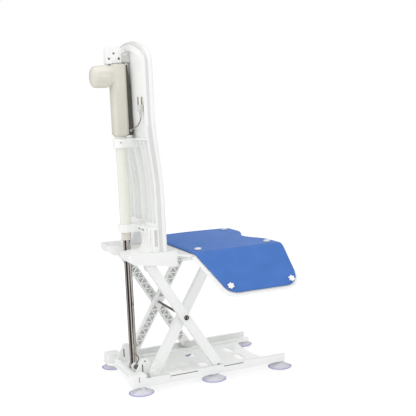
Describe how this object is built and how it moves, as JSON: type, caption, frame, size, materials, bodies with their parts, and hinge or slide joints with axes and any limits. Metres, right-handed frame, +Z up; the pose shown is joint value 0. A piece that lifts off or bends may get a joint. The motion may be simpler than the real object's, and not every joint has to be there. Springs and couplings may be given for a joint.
{
  "type": "floor recovery chair",
  "caption": "Powered lift chair: scissor arms on a suction-cup base raise a padded seat with drooping side flaps and a tall backrest carrying a linear actuator.",
  "frame": {"origin": "on the floor under the middle of the chair's bounding box", "axes": "+Z up, -Y to the front, +X to the sitter's left"},
  "size_m": [0.6754, 0.63, 1.15],
  "materials": {
    "white_plastic": "satin white moulding",
    "ivory_plastic": "satin ivory moulding",
    "cream_tube": "smooth cream paint",
    "dark_casing": "matt dark olive grey",
    "chrome_rod": "polished",
    "dark_steel": "dark zinc",
    "blue_cover": "blue foam-backed cover",
    "violet_cup": "translucent pale violet",
    "grey_plastic": "satin pale grey"
  },
  "bodies": {
    "base": {"base_plate": "white_plastic", "rail_left": "white_plastic", "rail_right": "white_plastic", "rear_crossmember": "white_plastic", "rod_clevis": "white_plastic", "clevis_pin": "dark_steel", "rod_catch": "dark_steel", "piston_rod": "chrome_rod", "base_pivot_pin_left": "dark_steel", "base_pivot_pin_right": "dark_steel", "suction_cup_rear_left": "violet_cup", "suction_cup_rear_right": "violet_cup", "suction_cup_middle_left": "violet_cup", "suction_cup_middle_right": "violet_cup", "suction_cup_front_left": "violet_cup", "suction_cup_front_right": "violet_cup"},
    "inner_arms": {"inner_arm_left": "white_plastic", "inner_arm_right": "white_plastic", "upper_roller_left": "grey_plastic", "upper_roller_right": "grey_plastic", "centre_axle": "dark_steel"},
    "outer_arms": {"outer_arm_left": "white_plastic", "outer_arm_right": "white_plastic", "foot_roller_left": "grey_plastic", "foot_roller_right": "grey_plastic", "centre_bolt_left": "dark_steel", "centre_bolt_right": "dark_steel"},
    "seat": {"seat_frame": "white_plastic", "seat_stud_rear_left": "white_plastic", "seat_stud_rear_right": "white_plastic", "seat_stud_front_left": "white_plastic", "seat_stud_front_right": "white_plastic", "backrest": "white_plastic", "tube_collar": "white_plastic", "tube_clamp": "white_plastic", "top_bracket": "white_plastic", "actuator_housing": "ivory_plastic", "motor_cap": "ivory_plastic", "rod_bush": "ivory_plastic", "actuator_tube": "cream_tube", "casing_spine": "dark_casing", "seat_pivot_pin_left": "dark_steel", "seat_pivot_pin_right": "dark_steel", "flap_hinge_pin_left": "dark_steel", "flap_hinge_pin_right": "dark_steel", "seat_cover": "blue_cover", "bracket_post_left": "grey_plastic", "bracket_post_right": "grey_plastic", "mains_plug": "grey_plastic", "cord_gland": "grey_plastic", "mains_lead": "grey_plastic"},
    "flap_left": {"flap_plate_left": "white_plastic", "flap_cover_left": "blue_cover", "flap_stud_rear_left": "white_plastic", "flap_stud_front_left": "white_plastic"},
    "flap_right": {"flap_plate_right": "white_plastic", "flap_cover_right": "blue_cover", "flap_stud_rear_right": "white_plastic", "flap_stud_front_right": "white_plastic"}
  },
  "joints": [
    {"name": "lift", "type": "hinge", "parent": "base", "child": "inner_arms", "pos_m": [0, 0.187, 0.046], "axis": [1, 0, 0], "range_deg": [0, 48.5]},
    {"name": "scissor", "type": "hinge", "parent": "inner_arms", "child": "outer_arms", "pos_m": [0, 0.07519, 0.22847], "axis": [1, 0, 0], "range_deg": [-97, 0]},
    {"name": "seat_level", "type": "hinge", "parent": "outer_arms", "child": "seat", "pos_m": [0, 0.187, 0.41093], "axis": [1, 0, 0], "range_deg": [0, 48.5]},
    {"name": "flap_left_fold", "type": "hinge", "parent": "seat", "child": "flap_left", "pos_m": [0.214, 0, 0.4455], "axis": [0, -1, 0], "range_deg": [0, 120]},
    {"name": "flap_right_fold", "type": "hinge", "parent": "seat", "child": "flap_right", "pos_m": [-0.214, 0, 0.4455], "axis": [0, 1, 0], "range_deg": [0, 120]}
  ],
  "couplings": [
    {"joint": "scissor", "follows": "lift", "ratio": -2},
    {"joint": "seat_level", "follows": "lift", "ratio": 1}
  ]
}
